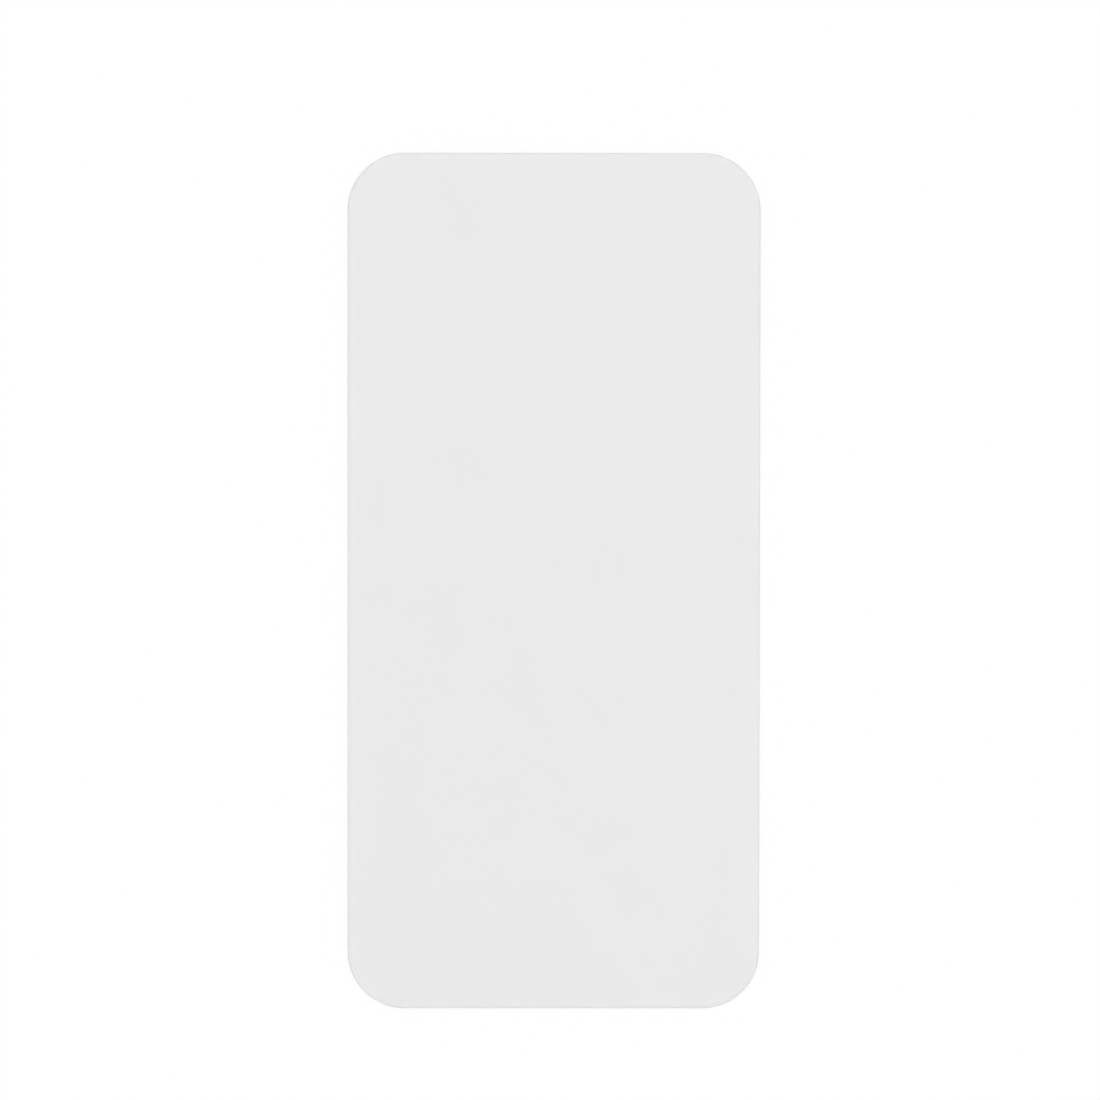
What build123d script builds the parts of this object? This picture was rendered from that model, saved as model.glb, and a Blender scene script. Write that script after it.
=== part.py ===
from build123d import *
import os

# Phone screen protector: one sheet of tempered glass with round corners and an arc-ground upper edge.
# The sheet lies on its adhesive face. The origin is the middle of that face, +Y runs along the sheet
# towards the top of the phone, and +Z points out of the touch face. All sizes are in millimetres.

# Outline of the sheet, seen from above
sheet_length = 145.0
sheet_width = 69.8
corner_radius = 9.7

# Section through the glass
glass_thickness = 0.33
side_wall = 0.13  # upright part of the edge that the grinding leaves, under the arc
arc_width = 1.0  # how far the arc reaches in from the edge over the touch face
seam = 0.04  # small bevel that takes the sharpness off the lower edge

# The arc is tangent to the touch face and falls by arc_drop over arc_width
arc_drop = glass_thickness - side_wall
arc_radius = (arc_width**2 + arc_drop**2) / (2 * arc_drop)

# The arc is part of a whole fillet on a blank that stands out past the finished outline on every side
blank_margin = arc_radius - arc_width
blank_depth = arc_radius + glass_thickness

# Glass sheet: the blank with its edge ground round, cut to the outline, with the lower edge seamed
with BuildPart() as glass_sheet:
    with BuildSketch(Plane.XY.offset(glass_thickness)):
        RectangleRounded(
            sheet_width + 2 * blank_margin,
            sheet_length + 2 * blank_margin,
            corner_radius + blank_margin,
        )
    extrude(amount=-blank_depth)
    fillet(glass_sheet.faces().sort_by(Axis.Z)[-1].edges(), radius=arc_radius)

    with BuildSketch():
        RectangleRounded(sheet_width, sheet_length, corner_radius)
    extrude(amount=glass_thickness, mode=Mode.INTERSECT)

    chamfer(glass_sheet.faces().sort_by(Axis.Z)[0].edges(), length=seam)
glass_sheet.part.label = "glass_sheet"

os.makedirs("parts", exist_ok=True)
export_step(glass_sheet.part, "parts/glass_sheet.step")
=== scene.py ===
import bmesh
import bpy
import math
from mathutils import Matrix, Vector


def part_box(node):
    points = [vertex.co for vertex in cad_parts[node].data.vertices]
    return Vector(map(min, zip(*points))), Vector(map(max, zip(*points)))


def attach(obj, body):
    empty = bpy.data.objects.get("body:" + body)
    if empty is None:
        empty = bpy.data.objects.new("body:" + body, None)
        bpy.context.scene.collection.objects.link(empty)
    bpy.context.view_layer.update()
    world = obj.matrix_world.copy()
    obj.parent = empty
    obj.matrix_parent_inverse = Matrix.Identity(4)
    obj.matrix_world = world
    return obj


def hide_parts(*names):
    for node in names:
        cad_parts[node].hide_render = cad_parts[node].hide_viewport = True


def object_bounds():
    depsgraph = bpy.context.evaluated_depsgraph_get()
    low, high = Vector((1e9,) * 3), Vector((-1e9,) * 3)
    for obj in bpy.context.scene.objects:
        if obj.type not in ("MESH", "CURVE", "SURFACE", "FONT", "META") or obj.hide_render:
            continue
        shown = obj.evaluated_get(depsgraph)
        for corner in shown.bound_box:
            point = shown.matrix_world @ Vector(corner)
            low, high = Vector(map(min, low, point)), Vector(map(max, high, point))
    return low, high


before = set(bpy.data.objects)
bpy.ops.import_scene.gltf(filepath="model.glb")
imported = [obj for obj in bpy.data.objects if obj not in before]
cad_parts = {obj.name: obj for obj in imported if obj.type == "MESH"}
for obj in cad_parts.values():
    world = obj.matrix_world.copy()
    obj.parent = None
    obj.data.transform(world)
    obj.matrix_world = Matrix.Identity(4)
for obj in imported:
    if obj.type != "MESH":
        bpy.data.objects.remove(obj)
cadLow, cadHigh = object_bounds()
metresPerMm = 0.001
print("frame loaded, sheet box in mm:", [round(side / metresPerMm, 3) for side in cadHigh - cadLow])


def linearColour(hexColour):
    # sRGB hex, such as "#eaeaea", to linear RGBA
    channels = [int(hexColour[i:i + 2], 16) / 255 for i in (1, 3, 5)]
    linear = [c / 12.92 if c <= 0.04045 else ((c + 0.055) / 1.055) ** 2.4 for c in channels]
    return (*linear, 1.0)


def addNode(tree, kind, settings=None, values=None, links=None):
    # one node with its settings, its socket values and the sockets that feed it
    node = tree.nodes.new(kind)
    for name, value in (settings or {}).items():
        setattr(node, name, value)
    for socket, value in (values or {}).items():
        node.inputs[socket].default_value = value
    for socket, source in (links or {}).items():
        tree.links.new(source, node.inputs[socket])
    return node


def newMaterial(name):
    material = bpy.data.materials.new(name)
    material.use_nodes = True
    material.node_tree.nodes.clear()
    return material, material.node_tree


def linkObject(name, data):
    thing = bpy.data.objects.new(name, data)
    bpy.context.scene.collection.objects.link(thing)
    return thing


# Camera: straight above the lying sheet, with its top end at the top of the picture
camera = {
    "lensMm": 65.0,
    "acrossMm": -1.81,  # where it hangs over the sheet
    "alongMm": 9.02,
    "heightMm": 336.9,
    "turnDeg": (-0.622, -0.196, 0.062),  # the small lean that the picture's edges show
    "clipM": (0.01, 20.0),
}


def addCamera():
    data = bpy.data.cameras.new("sheetCamera")
    data.lens = camera["lensMm"]
    data.clip_start, data.clip_end = camera["clipM"]
    cam = linkObject("sheetCamera", data)
    cam.location = [camera[k] * metresPerMm for k in ("acrossMm", "alongMm", "heightMm")]
    cam.rotation_euler = [math.radians(a) for a in camera["turnDeg"]]
    bpy.context.scene.camera = cam
    print("camera set")


# Glass sheet: the same form as the solid, with finer steps round the corners and over the ground edge
glassSheet = {
    "cornerMm": 9.7,  # corner arcs of the outline
    "sideWallMm": 0.13,  # upright edge that the grinding leaves under the arc
    "arcWidthMm": 1.0,  # how far the ground arc reaches in over the touch face
    "seamMm": 0.04,  # small bevel round the lower edge
    "holdingLoopMm": 0.1,  # flat strip inside the arc that keeps the touch face shading flat
    "cornerSteps": 32,
    "arcSteps": 12,
}


def makeGlassSheet():
    low, high = (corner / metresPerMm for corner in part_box("glass_sheet"))
    width, length, thickness = high - low
    middle = (low + high) / 2
    arcWidth = glassSheet["arcWidthMm"]
    sideWall = glassSheet["sideWallMm"]
    seam = glassSheet["seamMm"]
    arcDrop = thickness - sideWall
    arcRadius = (arcWidth ** 2 + arcDrop ** 2) / (2 * arcDrop)
    arcAngle = math.asin(arcWidth / arcRadius)

    bm = bmesh.new()
    etched = bm.faces.layers.float.new("etched")  # 1 on the matt touch face
    ground = bm.faces.layers.float.new("ground")  # 1 on the side wall and the seam

    # blank cut to the outline, at the height where the seam ends
    bmesh.ops.create_grid(bm, x_segments=1, y_segments=1, size=0.5)  # 1 x 1, scaled to the sheet
    bmesh.ops.scale(bm, vec=(width, length, 1), verts=bm.verts)
    bmesh.ops.translate(bm, vec=(middle.x, middle.y, low.z + seam), verts=bm.verts)
    bmesh.ops.bevel(
        bm, geom=bm.verts[:], offset=glassSheet["cornerMm"], offset_type="OFFSET", affect="VERTICES",
        segments=glassSheet["cornerSteps"], profile=0.5, material=-1,
    )
    under = next(iter(bm.faces))

    # upright side wall
    raised = bmesh.ops.extrude_face_region(bm, geom=[under], use_keep_orig=True)["geom"]
    touch = next(part for part in raised if isinstance(part, bmesh.types.BMFace))
    bmesh.ops.translate(bm, vec=(0, 0, sideWall - seam), verts=touch.verts)
    groundFaces = [face for face in bm.faces if face not in (under, touch)]
    sharpLoops = [touch.edges[:], under.edges[:]]

    # ground arc, from the wall up to where it meets the touch face
    for step in range(glassSheet["arcSteps"]):
        before, after = (arcAngle * (1 - i / glassSheet["arcSteps"]) for i in (step, step + 1))
        inward = arcRadius * (math.sin(before) - math.sin(after))
        upward = arcRadius * (math.cos(after) - math.cos(before))
        bmesh.ops.inset_region(bm, faces=[touch], thickness=inward, use_even_offset=True)
        bmesh.ops.translate(bm, vec=(0, 0, upward), verts=touch.verts)
    strip = bmesh.ops.inset_region(
        bm, faces=[touch], thickness=glassSheet["holdingLoopMm"], use_even_offset=True,
    )["faces"]

    # seam down to the face that sticks to the screen
    seamFaces = bmesh.ops.inset_region(bm, faces=[under], thickness=seam, use_even_offset=True)["faces"]
    bmesh.ops.translate(bm, vec=(0, 0, -seam), verts=under.verts)
    groundFaces += seamFaces
    sharpLoops.append(under.edges[:])

    for face in bm.faces:
        face.smooth = True
    for edge in (edge for loop in sharpLoops for edge in loop):
        edge.smooth = False
    bmesh.ops.recalc_face_normals(bm, faces=bm.faces)

    for face in (touch, *strip):
        face[etched] = 1.0
    for face in groundFaces:
        face[ground] = 1.0
    bmesh.ops.scale(bm, vec=(metresPerMm,) * 3, verts=bm.verts)

    mesh = bpy.data.meshes.new("protectorGlass")
    bm.to_mesh(mesh)
    bm.free()
    piece = linkObject("protectorGlass", mesh)
    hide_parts("glass_sheet")
    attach(piece, "root")
    print("glass sheet made,", len(mesh.polygons), "faces")
    return piece


# Tempered glass, acid-etched on the touch face, ground and polished round the edge. The etch scatters
# what shows through the clear glass, so over a white floor it looks an even, milky grey with a soft
# sheen. The polished arc keeps a clear glint, and the ground side shows as a fine darker line
temperedGlass = {
    "tint": "#ffffff",  # too thin to show a colour of its own
    "tintDeep": "#fdfdfd",
    "ior": 1.52,  # soda-lime glass
    "etchedRoughness": (0.29, 0.43),  # from the smoother to the rougher grains
    "polishedRoughness": 0.15,  # arc and underside
    "groundRoughness": 0.4,
    "grainMm": 0.35,  # real etch pits are some 0.03 mm wide, drawn coarser so that close views show them
    "grainDetail": 3.0,
    "grainFineShare": 0.6,  # how strongly each finer layer of the grain shows
    "grainRange": (0.3, 0.7),  # where most of the noise lies
    "pitDepthMm": 0.005,
    "cloudMm": 14.0,  # slow unevenness of the etch bath
}


def etchedTemperedGlass():
    material, tree = newMaterial("etchedTemperedGlass")
    place = addNode(tree, "ShaderNodeTexCoord").outputs["Object"]
    etched = addNode(tree, "ShaderNodeAttribute", {"attribute_name": "etched"}).outputs["Fac"]
    ground = addNode(tree, "ShaderNodeAttribute", {"attribute_name": "ground"}).outputs["Fac"]
    cloud = addNode(
        tree, "ShaderNodeTexNoise",
        values={"Scale": 1 / (temperedGlass["cloudMm"] * metresPerMm)},
        links={"Vector": place},
    ).outputs["Fac"]
    # a Mix node takes its factor at socket 0, numbers at 2 and 3, and colours at 6 and 7
    tone = addNode(
        tree, "ShaderNodeMix", {"data_type": "RGBA"},
        {6: linearColour(temperedGlass["tintDeep"]), 7: linearColour(temperedGlass["tint"])},
        {0: cloud},
    ).outputs[2]
    grain = addNode(
        tree, "ShaderNodeTexNoise",
        values={
            "Scale": 1 / (temperedGlass["grainMm"] * metresPerMm),
            "Detail": temperedGlass["grainDetail"],
            "Roughness": temperedGlass["grainFineShare"],
        },
        links={"Vector": place},
    ).outputs["Fac"]
    grainLow, grainHigh = temperedGlass["grainRange"]
    smoother, rougher = temperedGlass["etchedRoughness"]
    matt = addNode(
        tree, "ShaderNodeMapRange",
        values={"From Min": grainLow, "From Max": grainHigh, "To Min": smoother, "To Max": rougher},
        links={"Value": grain},
    ).outputs[0]
    edge = addNode(
        tree, "ShaderNodeMix", {"data_type": "FLOAT"},
        {2: temperedGlass["polishedRoughness"], 3: temperedGlass["groundRoughness"]},
        {0: ground},
    ).outputs[0]
    roughness = addNode(
        tree, "ShaderNodeMix", {"data_type": "FLOAT"}, links={0: etched, 2: edge, 3: matt},
    ).outputs[0]
    pits = addNode(
        tree, "ShaderNodeMath", {"operation": "MULTIPLY"}, links={0: grain, 1: etched},
    ).outputs[0]
    bump = addNode(
        tree, "ShaderNodeBump",
        values={"Distance": temperedGlass["pitDepthMm"] * metresPerMm},
        links={"Height": pits},
    ).outputs["Normal"]
    shader = addNode(
        tree, "ShaderNodeBsdfPrincipled",
        values={"IOR": temperedGlass["ior"], "Transmission Weight": 1.0},
        links={"Base Color": tone, "Roughness": roughness, "Normal": bump},
    )
    addNode(tree, "ShaderNodeOutputMaterial", links={"Surface": shader.outputs[0]})
    return material


# Studio: white floor and surroundings, an even sky of soft light and a very broad key
studio = {
    "skyColour": "#ffffff",
    "floorColour": "#cccccc",  # lifted to white where it is seen, so that it still takes a shadow
    "floorSizeM": 12.0,
    "floorGapMm": 0.01,  # keeps the floor just clear of the sheet's underside
    "keyShare": 0.2,  # of the light on the floor, with the rest from the sky
    "keyHeightDeg": 50.0,
    "keyTurnDeg": -45.0,  # from the top end of the sheet towards its right side
    "keySpreadDeg": 110.0,  # so broad that the glass mirrors no hot spot
}


def seenDirectly(tree):
    # 1 for the rays that see the surroundings, straight or through gloss and glass
    path = addNode(tree, "ShaderNodeLightPath").outputs
    either = addNode(
        tree, "ShaderNodeMath", {"operation": "MAXIMUM"},
        links={0: path["Is Camera Ray"], 1: path["Is Glossy Ray"]},
    ).outputs[0]
    return addNode(
        tree, "ShaderNodeMath", {"operation": "MAXIMUM"},
        links={0: either, 1: path["Is Transmission Ray"]},
    ).outputs[0]


def addFloor():
    bm = bmesh.new()
    bmesh.ops.create_grid(bm, x_segments=1, y_segments=1, size=studio["floorSizeM"] / 2)
    bmesh.ops.translate(bm, vec=(0, 0, cadLow.z - studio["floorGapMm"] * metresPerMm), verts=bm.verts)
    mesh = bpy.data.meshes.new("studioFloor")
    bm.to_mesh(mesh)
    bm.free()
    floor = linkObject("studioFloor", mesh)

    material, tree = newMaterial("paintedStudioFloor")
    colour = linearColour(studio["floorColour"])
    paint = addNode(tree, "ShaderNodeBsdfDiffuse", values={"Color": colour}).outputs[0]
    lift = addNode(
        tree, "ShaderNodeMath", {"operation": "MULTIPLY"}, {1: 1 - colour[0]}, {0: seenDirectly(tree)},
    ).outputs[0]
    glow = addNode(tree, "ShaderNodeEmission", links={"Strength": lift}).outputs[0]
    both = addNode(tree, "ShaderNodeAddShader", links={0: paint, 1: glow}).outputs[0]
    addNode(tree, "ShaderNodeOutputMaterial", links={"Surface": both})
    mesh.materials.append(material)


def addLight():
    world = bpy.data.worlds.new("studioSky")
    bpy.context.scene.world = world
    world.use_nodes = True
    tree = world.node_tree
    tree.nodes.clear()
    strength = addNode(
        tree, "ShaderNodeMapRange",
        values={"To Min": 1 - studio["keyShare"], "To Max": 1.0}, links={"Value": seenDirectly(tree)},
    ).outputs[0]
    sky = addNode(
        tree, "ShaderNodeBackground",
        values={"Color": linearColour(studio["skyColour"])}, links={"Strength": strength},
    ).outputs[0]
    addNode(tree, "ShaderNodeOutputWorld", links={"Surface": sky})

    height = math.radians(studio["keyHeightDeg"])
    lamp = bpy.data.lights.new("softKey", "SUN")
    lamp.angle = math.radians(studio["keySpreadDeg"])
    # a sun of strength pi straight overhead lights a white surface to 1
    lamp.energy = studio["keyShare"] * math.pi / math.sin(height)
    key = linkObject("softKey", lamp)
    key.rotation_euler = (height - math.pi / 2, 0, math.radians(studio["keyTurnDeg"]))


bpy.context.scene.view_settings.view_transform = "Standard"
addCamera()
protector = makeGlassSheet()
protector.data.materials.append(etchedTemperedGlass())
print("glass finished")
addFloor()
addLight()
print("studio set")
